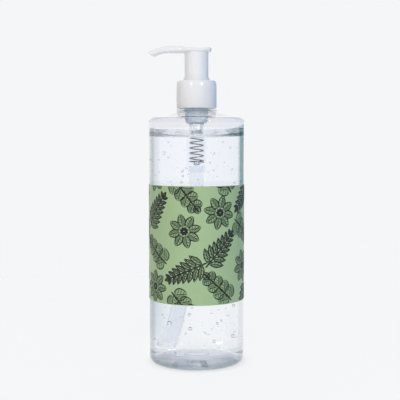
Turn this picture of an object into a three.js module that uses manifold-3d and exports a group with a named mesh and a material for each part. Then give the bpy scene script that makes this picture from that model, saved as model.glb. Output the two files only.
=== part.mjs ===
// Round clear bottle of hand gel with a wrap label and a white lotion pump.
// Millimetres, +Z up, origin at the centre of the base on the surface it stands on.
// The spout points along -X.
import * as THREE from "three";
import { mergeVertices } from "three/addons/utils/BufferGeometryUtils.js";
import Module from "manifold-3d";

const wasm = await Module();
wasm.setup();

// Bottle body
const bottleDiameter = 66;
const bottleWall = 0.8;
const baseThickness = 1.2;
const wallHeight = 170.2; // sharp corner where the wall would meet the shoulder
const shoulderRise = 4.2; // from that corner up to the root of the neck
const shoulderRound = 2.6;
const footRound = 5;
const standingRingWidth = 2.4;
const puntRise = 5.5;
const puntSlope = 9; // width of the slope from the standing ring up to the punt
const gateDiameter = 12; // thick round spot in the middle of the base
const gateRise = 1.1;

// Neck finish
const neckBore = 19.2;
const neckWall = 1.05;
const finishHeight = 14.9; // support ring to rim
const supportRingReach = 3.35;
const supportRingThickness = 1.5;
const neckRootReach = 1.9; // the neck is thicker below the support ring
const neckRootHeight = 0.2;
const threadDepth = 1.2; // room for the screw thread between neck and collar
const threadClearance = 0.3;

// Label
const labelBottom = 44.6;
const labelHeight = 79.8;
const labelFilm = 0.15;
const labelGlue = 0.05;
const labelBareStrip = 27.3; // left open at the back

// Gel
const headSpace = 12.2; // shoulder corner down to the gel
const meniscusRise = 2.2;
const meniscusWidth = 2.6;
const gelSkin = 0.1; // clearance to the bottle
const gelCavity = 0.3; // clearance to the pump and its tube

// Pump: fits
const fixedClearance = 0.3;
const turningClearance = 0.25;
const slidingClearance = 0.15;
const tubeClearance = 0.1;

// Pump: collar, gasket and lock ring
const collarWall = 1.8;
const collarTopThickness = 1.5;
const collarGap = 0.6; // above the support ring
const flangeClearance = 0.55;
const gasketThickness = 1;
const flangeThickness = 1.2;
const lockFlangeThickness = 1.2;
const lockRimWall = 0.45;
const lockRimRise = 2.1;

// Pump: housing, piston, spring, valve and tube
const stroke = 14;
const strokeSpare = 1;
const housingWall = 0.75;
const cupStep = 0.55;
const cupDepth = 11.2;
const cupTaper = 1.3;
const cupRound = 2.2;
const stemDiameter = 6;
const stemBore = 3.4;
const pistonWall = 1;
const pistonLength = 4.6;
const pistonLip = 0.35;
const pistonDrop = 2; // below the stem guide at rest
const seatThickness = 0.8;
const seatPlugLength = 2.4;
const guideFlange = 1.2;
const guideHeight = 5;
const springWire = 0.8;
const springTurns = 7;
const springClearance = 0.5;
const springSpare = 0.8; // left between the pressed coils
const ballDiameter = 3.5;
const inletHole = 2.4;
const inletLength = 0.5;
const seatConeAngle = THREE.MathUtils.degToRad(49);
const seatLip = 0.4;
const tubeDiameter = 7.8;
const tubeWall = 0.8;
const tubeSocketDepth = 4.2;
const tubeSocketWall = 1.1;
const tubeEndInset = 12.4; // end of the tube to the bottle's inner wall
const tubeEndBearing = THREE.MathUtils.degToRad(130);
const tubeEndGap = 2.4; // middle of the cut end above the floor

// Pump: head
const skirtWall = 0.85;
const skirtOverlap = 1; // below the collar's inner face at rest
const skirtCeiling = 1.5; // roof of the hollow skirt, below the pad
const bossWall = 1.2;
const bossLength = 13;
const pressedGap = 2.8; // pad to lock ring when pressed
const padThickness = 3.3;
const padOverhang = 0.75;
const lipReach = 2.15; // thumb lip beyond the skirt
const lipRise = 0.6;
const spoutReach = 33.7;
const spoutHeight = 4.95;
const spoutWidth = 10.4;
const spoutTipWidth = 7.6;
const spoutDroop = 2.7;
const spoutTipSlant = 4.6;
const spoutTipHeight = 3.4;
const nozzleBore = 3;

// Facets
const bottleSegments = 36;
const collarSegments = 32;
const pumpSegments = 24;
const blendSteps = 3;
const smallestBlend = 1.4; // a smaller blend is one flat chamfer
const weldDistance = 1e-4;

// Radii of the bottle
const bottleRadius = bottleDiameter / 2;
const innerRadius = bottleRadius - bottleWall;
const standingRingOuter = bottleRadius - footRound;
const standingRingInner = standingRingOuter - standingRingWidth;
const puntRadius = standingRingInner - puntSlope;
const gateRadius = gateDiameter / 2;
const boreRadius = neckBore / 2;
const neckRadius = boreRadius + neckWall;
const supportRingRadius = neckRadius + supportRingReach;

// Heights of the bottle
const neckRootZ = wallHeight + shoulderRise;
const supportRingBottom = neckRootZ + neckRootHeight;
const supportRingTop = supportRingBottom + supportRingThickness;
const neckTop = supportRingTop + finishHeight;
const gelLevel = wallHeight - bottleWall - headSpace;

// Radii of the pump, each from the piece that it fits into
const pocketOuter = boreRadius - fixedClearance;
const pocketInner = pocketOuter - housingWall;
const skirtRadius = pocketInner - fixedClearance;
const lockRimInner = skirtRadius + turningClearance;
const lockRimOuter = lockRimInner + lockRimWall;
const collarInner = neckRadius + threadDepth + threadClearance;
const collarRadius = collarInner + collarWall;
const collarHole = lockRimOuter + turningClearance;
const flangeRadius = collarInner - flangeClearance;
const stemRadius = stemDiameter / 2;
const pistonInner = stemRadius + slidingClearance;
const pistonRadius = pistonInner + pistonWall;
const cylinderInner = pistonRadius + slidingClearance;
const cylinderRadius = cylinderInner + housingWall;
const springRadius = cylinderInner - springClearance;
const seatConeRadius = springRadius - springWire - seatLip;
const inletRadius = inletHole / 2;
const tubeRadius = tubeDiameter / 2;
const tubeSocketRadius = tubeRadius + tubeClearance;

// Heights of the pump, from the rim of the neck up and down
const gasketTop = neckTop + gasketThickness;
const flangeTop = gasketTop + flangeThickness;
const lockFlangeTop = flangeTop + lockFlangeThickness;
const collarBottom = supportRingTop + collarGap;
const collarTop = lockFlangeTop + collarTopThickness;
const lockRimTop = collarTop + lockRimRise;
const skirtBottom = lockFlangeTop - skirtOverlap;
const pocketFloor = skirtBottom - stroke - strokeSpare;
const cupFloor = pocketFloor - cupDepth;
const pistonTop = cupFloor - pistonDrop;
const pistonBottom = pistonTop - pistonLength;
const seatTop = pistonBottom - slidingClearance;
const seatBottom = seatTop - seatThickness;
const springLedge = seatBottom - stroke - springTurns * springWire - springSpare;
const inletTop = springLedge - (seatConeRadius - inletRadius) * Math.tan(seatConeAngle);
const tubeSocketTop = inletTop - inletLength;
const housingFoot = tubeSocketTop - tubeSocketDepth;
const padBottom = lockRimTop + stroke + pressedGap;
const padTop = padBottom + padThickness;
const skirtRoof = padBottom - skirtCeiling;
const stemTop = skirtRoof - fixedClearance;

// Point on the way from one corner towards another, at most half way.
function towards(from, to, distance) {
  const share = Math.min(distance / from.distanceTo(to), 0.48);
  return from.clone().lerp(to, share);
}

// Outline through corners [radius, height, blend]: a blend starts that far from its corner.
function blendedOutline(corners) {
  const points = corners.map(([radius, height]) => new THREE.Vector2(radius, height));
  const count = points.length;
  return corners.flatMap(([, , blend = 0], i) => {
    if (blend === 0) return [points[i]];
    const start = towards(points[i], points[(i + count - 1) % count], blend);
    const end = towards(points[i], points[(i + 1) % count], blend);
    const steps = blend < smallestBlend ? 1 : blendSteps;
    return new THREE.QuadraticBezierCurve(start, points[i], end).getPoints(steps);
  });
}

// Geometry with shared vertices merged and collapsed triangles dropped.
function welded(geometry) {
  geometry.deleteAttribute("normal");
  geometry.deleteAttribute("uv");
  const merged = mergeVertices(geometry, weldDistance);
  const corners = merged.index.array;
  const kept = [];
  for (let i = 0; i < corners.length; i += 3) {
    const [a, b, c] = corners.slice(i, i + 3);
    if (a !== b && b !== c && c !== a) kept.push(a, b, c);
  }
  merged.setIndex(kept);
  merged.computeVertexNormals();
  return merged;
}

// Turned form about +Z: the outline runs up the outside, from axis to axis or closed on itself.
function turned(corners, segments) {
  const outline = blendedOutline(corners);
  if (corners[0][0] > 0) outline.push(outline[0]);
  const geometry = new THREE.LatheGeometry(outline, segments);
  geometry.rotateX(Math.PI / 2);
  return welded(geometry);
}

// Round rod or tube along a curve.
function swept(radius, boreRadiusInside, curve, steps, curveSegments) {
  const section = new THREE.Shape().absarc(0, 0, radius, 0, 2 * Math.PI);
  if (boreRadiusInside > 0) {
    section.holes.push(new THREE.Path().absarc(0, 0, boreRadiusInside, 0, 2 * Math.PI, true));
  }
  return welded(new THREE.ExtrudeGeometry(section, { steps, curveSegments, extrudePath: curve }));
}

function toSolid(geometry) {
  const mesh = new wasm.Mesh({
    numProp: 3,
    vertProperties: new Float32Array(geometry.attributes.position.array),
    triVerts: new Uint32Array(geometry.index.array),
  });
  return new wasm.Manifold(mesh);
}

function toGeometry(solid) {
  const mesh = solid.getMesh();
  const geometry = new THREE.BufferGeometry();
  geometry.setAttribute("position", new THREE.BufferAttribute(mesh.vertProperties, 3));
  geometry.setIndex(new THREE.BufferAttribute(mesh.triVerts, 1));
  geometry.computeVertexNormals();
  return geometry;
}

// Inside of the base and wall, from the centre of the floor outwards.
function floorCorners(lift) {
  return [
    [0, puntRise + gateRise + lift],
    [gateRadius, puntRise + gateRise + lift],
    [gateRadius + gateRise, puntRise + lift],
    [puntRadius, puntRise + lift, 1.2],
    [standingRingInner, lift],
  ];
}

function bottle() {
  const shell = [
    ...floorCorners(0),
    [bottleRadius, 0, footRound],
    [bottleRadius, wallHeight, shoulderRound],
    [neckRadius + neckRootReach, neckRootZ],
    [neckRadius + neckRootReach, supportRingBottom],
    [supportRingRadius, supportRingBottom, 0.4],
    [supportRingRadius, supportRingTop, 0.4],
    [neckRadius, supportRingTop],
    [neckRadius, neckTop],
    [boreRadius, neckTop],
    [boreRadius, neckRootZ - bottleWall],
    [innerRadius, wallHeight - bottleWall, shoulderRound],
    [innerRadius, baseThickness, footRound],
    ...floorCorners(baseThickness).reverse(),
  ];
  return turned(shell, bottleSegments);
}

// Film sector round the bottle, open in a strip at the back.
function wrapLabel() {
  const labelArc = 2 * Math.PI - labelBareStrip / bottleRadius;
  const step = labelArc / bottleSegments;
  const inside = (bottleRadius + labelGlue) / Math.cos(step / 2);
  const first = (Math.PI + labelBareStrip / bottleRadius) / 2;
  const arc = (radius) =>
    Array.from({ length: bottleSegments + 1 }, (_, i) => {
      const angle = first + i * step;
      return new THREE.Vector2(radius * Math.cos(angle), radius * Math.sin(angle));
    });
  const section = new THREE.Shape([...arc(inside + labelFilm), ...arc(inside).reverse()]);
  const film = new THREE.ExtrudeGeometry(section, { depth: labelHeight, bevelEnabled: false });
  film.translate(0, 0, labelBottom);
  return welded(film);
}

// Route of the dip tube: straight out of its socket, then bent to the back left of the floor.
function tubeRoute() {
  const reach = innerRadius - tubeEndInset;
  const end = new THREE.Vector3(
    reach * Math.cos(tubeEndBearing),
    reach * Math.sin(tubeEndBearing),
    puntRise + baseThickness + tubeEndGap,
  );
  const top = new THREE.Vector3(0, 0, tubeSocketTop - tubeClearance);
  const fall = top.z - end.z;
  const down = new THREE.Vector3(0, 0, top.z - 0.4 * fall);
  const bend = new THREE.Vector3(0.72 * end.x, -0.05 * end.y, end.z + 0.2 * fall);
  return new THREE.CubicBezierCurve3(top, down, bend, end);
}

function dipTube(extra = 0) {
  const bore = extra > 0 ? 0 : tubeRadius - tubeWall;
  return swept(tubeRadius + extra, bore, tubeRoute(), 16, 6);
}

// Outside of the pump housing below its flange, from the foot up, grown by a clearance.
function housingCorners(grow) {
  const foot = tubeSocketRadius + tubeSocketWall;
  const cupBottom = cupFloor - housingWall;
  return [
    [foot + grow, housingFoot - grow],
    [foot + grow, tubeSocketTop],
    [cylinderRadius + grow, springLedge],
    [cylinderRadius + grow, cupBottom - grow, 1],
    [pocketOuter - cupStep - cupTaper + grow, cupBottom - grow, cupRound],
    [pocketOuter - cupStep + grow, pocketFloor - housingWall],
    [pocketOuter + grow, pocketFloor],
  ];
}

function gelFill() {
  const radius = innerRadius - gelSkin;
  const body = turned(
    [
      ...floorCorners(baseThickness + gelSkin),
      [radius, baseThickness + gelSkin, footRound],
      [radius, gelLevel + meniscusRise],
      [radius - gelSkin, gelLevel, meniscusWidth],
      [0, gelLevel],
    ],
    bottleSegments,
  );
  const roof = neckTop;
  const pump = turned(
    [[0, housingFoot - gelCavity], ...housingCorners(gelCavity), [pocketOuter + gelCavity, roof], [0, roof]],
    pumpSegments,
  );
  return toGeometry(toSolid(body).subtract(toSolid(pump)).subtract(toSolid(dipTube(gelCavity))));
}

function screwCollar() {
  return turned(
    [
      [collarInner, collarBottom],
      [collarRadius, collarBottom, 0.5],
      [collarRadius, collarTop, 1.5],
      [collarHole, collarTop, 0.3],
      [collarHole, lockFlangeTop],
      [collarInner, lockFlangeTop],
    ],
    collarSegments,
  );
}

function neckGasket() {
  const inside = pocketOuter + turningClearance;
  return turned(
    [
      [inside, neckTop],
      [flangeRadius, neckTop],
      [flangeRadius, gasketTop],
      [inside, gasketTop],
    ],
    pumpSegments,
  );
}

function lockRing() {
  return turned(
    [
      [lockRimInner, flangeTop],
      [flangeRadius, flangeTop],
      [flangeRadius, lockFlangeTop],
      [lockRimOuter, lockFlangeTop],
      [lockRimOuter, lockRimTop, 0.2],
      [lockRimInner, lockRimTop, 0.2],
    ],
    pumpSegments,
  );
}

// Flanged cup with the pump cylinder, the valve seat and the tube socket under it.
function pumpHousing() {
  const cupInner = pocketOuter - cupStep - housingWall;
  return turned(
    [
      ...housingCorners(0),
      [pocketOuter, gasketTop],
      [flangeRadius, gasketTop],
      [flangeRadius, flangeTop],
      [pocketInner, flangeTop],
      [pocketInner, pocketFloor + housingWall],
      [cupInner, pocketFloor],
      [cupInner - cupTaper, cupFloor, 0.8],
      [cylinderInner, cupFloor],
      [cylinderInner, springLedge],
      [seatConeRadius, springLedge],
      [inletRadius, inletTop],
      [inletRadius, tubeSocketTop],
      [tubeSocketRadius, tubeSocketTop],
      [tubeSocketRadius, housingFoot],
    ],
    pumpSegments,
  );
}

// Flanged sleeve on the floor of the cup, which keeps the piston in and the stem upright.
function stemGuide() {
  const bore = stemRadius + turningClearance;
  const sleeve = bore + housingWall;
  const flange = pocketOuter - cupStep - housingWall - cupTaper - fixedClearance - housingWall;
  return turned(
    [
      [bore, cupFloor],
      [flange, cupFloor],
      [flange, cupFloor + guideFlange],
      [sleeve, cupFloor + guideFlange],
      [sleeve, cupFloor + guideHeight, 0.2],
      [bore, cupFloor + guideHeight, 0.2],
    ],
    pumpSegments,
  );
}

function stem() {
  const bore = stemBore / 2;
  return turned(
    [
      [bore, pistonBottom],
      [stemRadius, pistonBottom],
      [stemRadius, stemTop],
      [bore, stemTop],
    ],
    pumpSegments,
  );
}

// Sleeve with a sealing lip at each end and a waist between them.
function piston() {
  const waist = pistonRadius - pistonLip;
  const lipHeight = pistonLength / 4;
  return turned(
    [
      [pistonInner, pistonBottom],
      [pistonRadius, pistonBottom],
      [waist, pistonBottom + lipHeight],
      [waist, pistonTop - lipHeight],
      [pistonRadius, pistonTop],
      [pistonInner, pistonTop],
    ],
    pumpSegments,
  );
}

// Plug in the foot of the stem, with the flange that the spring lifts.
function pistonSeat() {
  const plug = stemBore / 2 - slidingClearance;
  const flange = springRadius;
  return turned(
    [
      [0, seatBottom],
      [flange, seatBottom],
      [flange, seatTop],
      [plug, seatTop],
      [plug, seatTop + seatPlugLength, 0.4],
      [0, seatTop + seatPlugLength],
    ],
    pumpSegments,
  );
}

// Helix with one closed turn at each end.
class SpringCurve extends THREE.Curve {
  getPoint(t, target = new THREE.Vector3()) {
    const turn = t * springTurns;
    const closed = springWire * 1.08;
    const lowest = springLedge + springWire / 2 + slidingClearance / 2;
    const length = seatBottom - springLedge - springWire - slidingClearance;
    const openPitch = (length - 2 * closed) / (springTurns - 2);
    const open = THREE.MathUtils.clamp(turn - 1, 0, springTurns - 2);
    const height = closed * (turn - open) + openPitch * open;
    const angle = 2 * Math.PI * turn;
    const mean = springRadius - springWire / 2;
    return target.set(mean * Math.cos(angle), mean * Math.sin(angle), lowest + height);
  }
}

function returnSpring() {
  const stepsPerTurn = 10;
  return swept(springWire / 2, 0, new SpringCurve(), springTurns * stepsPerTurn, 3);
}

// Valve ball resting on its cone, a hair above it.
function inletBall() {
  const radius = ballDiameter / 2;
  const coneTip = inletTop - inletRadius * Math.tan(seatConeAngle);
  const ball = new THREE.SphereGeometry(radius, 12, 8);
  ball.rotateX(Math.PI / 2);
  ball.translate(0, 0, coneTip + (radius + tubeClearance) / Math.cos(seatConeAngle));
  return welded(ball);
}

// Sections of the pad and spout from the thumb lip to the tip: top, bottom and half width.
function headSections() {
  const lipEnd = skirtRadius + lipReach;
  const padHalf = skirtRadius + padOverhang;
  const root = skirtRadius + spoutWidth / 4;
  const spoutTop = padBottom + spoutHeight;
  const tipTop = padBottom - spoutDroop + spoutTipHeight;
  const tipFoot = spoutReach - spoutTipSlant;
  const hump = root + (spoutReach - root) / 4;
  const run = root + (spoutReach - root) / 2;
  const tipRise = (spoutTop - tipTop) / 2;
  return [
    { top: [lipEnd, padTop], bottom: [lipEnd - 0.2, padBottom + 2 * lipRise], half: 0.36 * padHalf },
    { top: [lipEnd - 1.3, padTop + lipRise], bottom: [lipEnd - 1.5, padBottom + lipRise], half: 0.7 * padHalf },
    { top: [skirtRadius / 2, padTop + lipRise / 4], bottom: [skirtRadius / 2, padBottom], half: 0.95 * padHalf },
    { top: [0, padTop], bottom: [0, padBottom], half: padHalf },
    { top: [-skirtRadius * 0.66, padTop + lipRise], bottom: [-skirtRadius * 0.66, padBottom], half: 0.92 * padHalf },
    { top: [-root, spoutTop - lipRise / 2], bottom: [-root, padBottom - 0.1], half: 0.6 * spoutWidth },
    { top: [-hump, spoutTop], bottom: [-hump, padBottom - 0.2], half: spoutWidth / 2 },
    { top: [-run, spoutTop - 0.2 * tipRise], bottom: [-run + 0.7, padBottom - 0.2], half: 0.2 * spoutWidth + 0.3 * spoutTipWidth },
    { top: [-spoutReach + spoutTipSlant, tipTop + tipRise * 0.85], bottom: [-tipFoot + 3.2, padBottom - 0.4 * spoutDroop], half: 0.54 * spoutTipWidth },
    { top: [-spoutReach, tipTop], bottom: [-tipFoot, padBottom - spoutDroop], half: spoutTipWidth / 2 },
  ];
}

// Loft through rounded sections that stand between a top and a bottom curve.
function headLoft() {
  const sections = headSections();
  const along = (pick) => new THREE.SplineCurve(sections.map((s, i) => new THREE.Vector2(...pick(s, i))));
  const top = along((s) => s.top);
  const bottom = along((s) => s.bottom);
  const half = along((s, i) => [i, s.half]);
  const stations = 18;
  const ring = 16;
  const squareness = 2 / 3;
  const rounded = (value) => Math.sign(value) * Math.abs(value) ** squareness;
  const positions = [];
  for (let i = 0; i <= stations; i++) {
    const upper = top.getPoint(i / stations);
    const lower = bottom.getPoint(i / stations);
    const width = half.getPoint(i / stations).y;
    const middle = upper.clone().lerp(lower, 0.5);
    for (let k = 0; k < ring; k++) {
      const angle = (2 * Math.PI * k) / ring;
      const spot = middle.clone().lerp(upper, rounded(Math.sin(angle)));
      positions.push(spot.x, width * rounded(Math.cos(angle)), spot.y);
    }
  }
  const index = [];
  for (let i = 0; i < stations; i++) {
    for (let k = 0; k < ring; k++) {
      const a = i * ring + k;
      const b = i * ring + ((k + 1) % ring);
      index.push(a, a + ring, b, b, a + ring, b + ring);
    }
  }
  const last = stations * ring;
  for (let k = 1; k < ring - 1; k++) {
    index.push(0, k, k + 1);
    index.push(last, last + k + 1, last + k);
  }
  const geometry = new THREE.BufferGeometry();
  geometry.setAttribute("position", new THREE.Float32BufferAttribute(positions, 3));
  geometry.setIndex(index);
  return geometry;
}

// Passage from the stem up through the pad and out of the slanted tip.
function nozzlePassage() {
  const sections = headSections();
  const centre = (i, share) => {
    const [topX, topZ] = sections[i].top;
    const [bottomX, bottomZ] = sections[i].bottom;
    const spot = (low, high) => low + (high - low) * share;
    return new THREE.Vector3(spot(bottomX, topX), 0, spot(bottomZ, topZ));
  };
  const lastBend = centre(sections.length - 2, 0.5);
  const mouth = centre(sections.length - 1, 0.5);
  const radius = nozzleBore / 2;
  return swept(
    radius,
    0,
    new THREE.CatmullRomCurve3([
      new THREE.Vector3(0, 0, skirtRoof - radius),
      new THREE.Vector3(0, 0, padBottom - radius / 2),
      new THREE.Vector3(-radius, 0, padBottom + padThickness / 3),
      centre(4, 0.4),
      centre(6, 0.5),
      centre(7, 0.5),
      lastBend,
      mouth,
      mouth.clone().lerp(lastBend, -0.7),
    ]),
    14,
    5,
  );
}

// Pad, spout, skirt and stem boss moulded in one piece.
function actuator() {
  const socket = stemRadius + tubeClearance;
  const skirt = turned(
    [
      [0, skirtRoof],
      [socket, skirtRoof],
      [socket, skirtRoof - bossLength],
      [socket + bossWall, skirtRoof - bossLength],
      [socket + bossWall, skirtRoof],
      [skirtRadius - skirtWall, skirtRoof],
      [skirtRadius - skirtWall, skirtBottom],
      [skirtRadius, skirtBottom, 0.2],
      [skirtRadius, padBottom + padThickness / 2],
      [0, padBottom + padThickness / 2],
    ],
    collarSegments,
  );
  return toGeometry(toSolid(headLoft()).add(toSolid(skirt)).subtract(toSolid(nozzlePassage())));
}

const clearPet = { color: 0xeef3f6, roughness: 0.05, metalness: 0, transparent: true, opacity: 0.25 };
const clearGel = { color: 0xe9eef4, roughness: 0.05, metalness: 0, transparent: true, opacity: 0.35 };
const greenFilm = { color: 0xa9c4a0, roughness: 0.35, metalness: 0 };
const whitePlastic = { color: 0xf1f2f4, roughness: 0.3, metalness: 0 };
const naturalPlastic = { color: 0xc9d3df, roughness: 0.35, metalness: 0 };
const tubePlastic = { color: 0xdcdfe8, roughness: 0.35, metalness: 0 };
const foam = { color: 0xf4f4f0, roughness: 0.8, metalness: 0 };
const springSteel = { color: 0x8b9096, roughness: 0.25, metalness: 1 };

const gelBottle = new THREE.Group();

function addPiece(name, geometry, finish) {
  const mesh = new THREE.Mesh(geometry, new THREE.MeshStandardMaterial(finish));
  mesh.name = name;
  gelBottle.add(mesh);
}

addPiece("bottle", bottle(), clearPet);
addPiece("wrap_label", wrapLabel(), greenFilm);
addPiece("gel_fill", gelFill(), clearGel);
addPiece("screw_collar", screwCollar(), whitePlastic);
addPiece("neck_gasket", neckGasket(), foam);
addPiece("lock_ring", lockRing(), whitePlastic);
addPiece("pump_housing", pumpHousing(), naturalPlastic);
addPiece("stem_guide", stemGuide(), whitePlastic);
addPiece("stem", stem(), whitePlastic);
addPiece("piston", piston(), naturalPlastic);
addPiece("piston_seat", pistonSeat(), whitePlastic);
addPiece("return_spring", returnSpring(), springSteel);
addPiece("inlet_ball", inletBall(), springSteel);
addPiece("dip_tube", dipTube(), tubePlastic);
addPiece("actuator", actuator(), whitePlastic);

export default gelBottle;
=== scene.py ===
# Clear pump bottle of hand gel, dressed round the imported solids.
# Lengths are millimetres here and become metres when a mesh is made.
import math

import bpy
import numpy as np
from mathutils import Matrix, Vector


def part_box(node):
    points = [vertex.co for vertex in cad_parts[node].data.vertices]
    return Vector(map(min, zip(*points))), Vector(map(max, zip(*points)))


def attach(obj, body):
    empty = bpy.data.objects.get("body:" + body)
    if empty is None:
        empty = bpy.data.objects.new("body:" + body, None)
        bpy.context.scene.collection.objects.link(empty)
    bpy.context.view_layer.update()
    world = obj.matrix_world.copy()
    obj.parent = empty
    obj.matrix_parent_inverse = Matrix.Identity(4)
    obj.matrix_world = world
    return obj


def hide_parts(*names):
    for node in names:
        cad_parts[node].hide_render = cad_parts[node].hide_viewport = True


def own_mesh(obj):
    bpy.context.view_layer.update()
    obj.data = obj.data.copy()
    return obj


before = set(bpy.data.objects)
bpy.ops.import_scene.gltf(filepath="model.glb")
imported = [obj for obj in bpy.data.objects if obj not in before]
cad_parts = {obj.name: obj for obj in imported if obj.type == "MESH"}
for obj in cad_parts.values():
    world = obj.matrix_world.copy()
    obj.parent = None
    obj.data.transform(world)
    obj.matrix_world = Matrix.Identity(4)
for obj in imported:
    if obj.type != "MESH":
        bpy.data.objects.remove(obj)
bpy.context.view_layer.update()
mm = 0.001
fullTurn = 2 * math.pi
blendSteps = 9  # points on each rounded corner of a profile
print("frame loaded:", len(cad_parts), "nodes")


# Meshes

def nodeSpan(node):
    # lowest and highest corner of a solid, in millimetres
    low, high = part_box(node)
    return np.array(low) / mm, np.array(high) / mm


def gridQuads(rows, columns, ringRows=False, ringColumns=False):
    # quads between neighbours on a grid of points that is numbered row by row
    row = np.arange(rows if ringRows else rows - 1)[:, None]
    column = np.arange(columns if ringColumns else columns - 1)[None, :]
    here, above = row * columns, (row + 1) % rows * columns
    beside = (column + 1) % columns
    return np.stack([here + column, here + beside, above + beside, above + column], -1).reshape(-1, 4)


def weld(points, quads):
    # points that share a place become one, quads become triangles, and collapsed triangles go
    spots, number = np.unique(np.round(points, 5), axis=0, return_inverse=True)
    corners = number.reshape(-1)[np.concatenate([quads[:, :3], quads[:, [0, 2, 3]]])]
    first, second, third = corners.T
    return spots, corners[(first != second) & (second != third) & (third != first)]


def makePiece(name, surfaces, materials, sharpDegrees=38):
    # surfaces holds (points, quads, material number) of each closed form in the piece;
    # the number may also be a function of the triangles' middles
    spots, faces, numbers, count = [], [], [], 0
    for points, quads, number in surfaces:
        welded, triangles = weld(points.reshape(-1, 3), quads)
        middles = welded[triangles].mean(1)
        numbers.append(number(middles) if callable(number) else np.full(len(triangles), number))
        spots.append(welded)
        faces.append(triangles + count)
        count += len(welded)
    spots, faces, numbers = np.concatenate(spots) * mm, np.concatenate(faces), np.concatenate(numbers)
    mesh = bpy.data.meshes.new(name)
    mesh.vertices.add(len(spots))
    mesh.vertices.foreach_set("co", spots.astype(np.float32).ravel())
    mesh.loops.add(faces.size)
    mesh.loops.foreach_set("vertex_index", faces.astype(np.int32).ravel())
    mesh.polygons.add(len(faces))
    mesh.polygons.foreach_set("loop_start", np.arange(0, faces.size, 3, dtype=np.int32))
    mesh.polygons.foreach_set("material_index", numbers.astype(np.int32))
    mesh.polygons.foreach_set("use_smooth", np.ones(len(faces), bool))
    mesh.update(calc_edges=True)
    mesh.set_sharp_from_angle(angle=math.radians(sharpDegrees))
    for material in materials:
        mesh.materials.append(material)
    piece = bpy.data.objects.new(name, mesh)
    bpy.context.scene.collection.objects.link(piece)
    return piece


def dress(piece, body, slot, *nodes):
    # the piece moves with its body and stands for the solids named
    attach(piece, body)
    if nodes:
        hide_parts(*nodes)
    print("piece:", piece.name, len(piece.data.polygons), "triangles")
    return piece


def roundedProfile(corners, steps=blendSteps):
    # outline through corners (radius, height, blend): a blend is a quadratic curve which starts and
    # ends that far from its corner, and at most half way to the next one
    spots = np.array([corner[:2] for corner in corners], float)
    blends = np.array([[corner[2] if len(corner) > 2 else 0.0] for corner in corners])

    def towards(other):
        gap = np.linalg.norm(other - spots, axis=1, keepdims=True)
        return spots + (other - spots) * np.minimum(blends / np.maximum(gap, 1e-6), 0.49)

    start, end = towards(np.roll(spots, 1, 0)), towards(np.roll(spots, -1, 0))
    t = np.linspace(0, 1, steps)[:, None, None]
    curve = (1 - t) ** 2 * start + 2 * t * (1 - t) * spots + t ** 2 * end
    return curve.transpose(1, 0, 2).reshape(-1, 2)


def turned(profile, segments, closed=False):
    # each profile point is carried round the axis: x = r cos a, y = r sin a, z = h
    angle = np.linspace(0, fullTurn, segments, endpoint=False)
    radius, height = profile[:, 0, None], profile[:, 1, None]
    points = np.stack([radius * np.cos(angle), radius * np.sin(angle), height + 0 * angle], -1)
    return points, gridQuads(len(profile), segments, closed, True)


def sweptTube(path, tangent, reference, radius, sides, closed=False):
    # circles square to the path: centre + radius (across cos a + over sin a), where across is the
    # reference made square to the tangent and over is square to both
    tangent = tangent / np.linalg.norm(tangent, axis=1, keepdims=True)
    across = reference - tangent * np.sum(reference * tangent, axis=1, keepdims=True)
    across /= np.linalg.norm(across, axis=1, keepdims=True)
    over = np.cross(tangent, across)
    angle = np.linspace(0, fullTurn, sides, endpoint=False)[None, :, None]
    ring = across[:, None] * np.cos(angle) + over[:, None] * np.sin(angle)
    points = path[:, None] + ring * np.asarray(radius)[:, None, None]
    return points, gridQuads(len(path), sides, closed, True)


# Materials

def linear(hexColour):
    # sRGB hex value to linear light
    srgb = np.array([int(hexColour[i:i + 2], 16) for i in (1, 3, 5)]) / 255
    light = np.where(srgb <= 0.04045, srgb / 12.92, ((srgb + 0.055) / 1.055) ** 2.4)
    return (*light.tolist(), 1.0)


def addNode(tree, kind, inputs=None, stops=(), **settings):
    # one node: an input is a value, or the socket that it is linked to, and stops are the places and
    # colours on a colour ramp from 0 to 1
    node = tree.nodes.new(kind)
    for key, value in settings.items():
        setattr(node, key, value)
    for key, value in (inputs or {}).items():
        if isinstance(value, bpy.types.NodeSocket):
            tree.links.new(value, node.inputs[key])
        else:
            node.inputs[key].default_value = value
    if stops:
        marks = node.color_ramp.elements
        marks[0].color, marks[1].color = linear(stops[0][1]), linear(stops[-1][1])
        for place, colour in stops[1:-1]:
            marks.new(place).color = linear(colour)
    return node


def startMaterial(name):
    # a new material and its empty node tree
    material = bpy.data.materials.new(name)
    material.use_nodes = True
    material.node_tree.nodes.clear()
    return material, material.node_tree


def perMetre(millimetres):
    # scale of a noise whose features are about that long
    return 1 / (millimetres * mm)


def finishClear(tree, surface, longest=14):
    # shadows pass a clear body, and light that has turned that often inside a wall leaves it straight
    ray = addNode(tree, "ShaderNodeLightPath")
    caught = addNode(tree, "ShaderNodeMath", {0: ray.outputs["Ray Depth"], 1: longest},
                     operation="GREATER_THAN")
    free = addNode(tree, "ShaderNodeMath", {0: ray.outputs["Is Shadow Ray"], 1: caught.outputs[0]},
                   operation="MAXIMUM")
    through = addNode(tree, "ShaderNodeBsdfTransparent")
    mix = addNode(tree, "ShaderNodeMixShader", {0: free.outputs[0], 1: surface, 2: through.outputs[0]})
    addNode(tree, "ShaderNodeOutputMaterial", {"Surface": mix.outputs[0]})


# colours of the painted shade and reflection at the wall's grazing edges: grey at the left, grey-green at the
# right
paintedEdgeLook = {"from": 0.5, "to": 0.62, "left": "#C0C3C6", "right": "#5C7A6C", "lowRight": "#DCDCE2",
            "sideMm": 12, "highMm": 112, "blendMm": 3}
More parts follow.
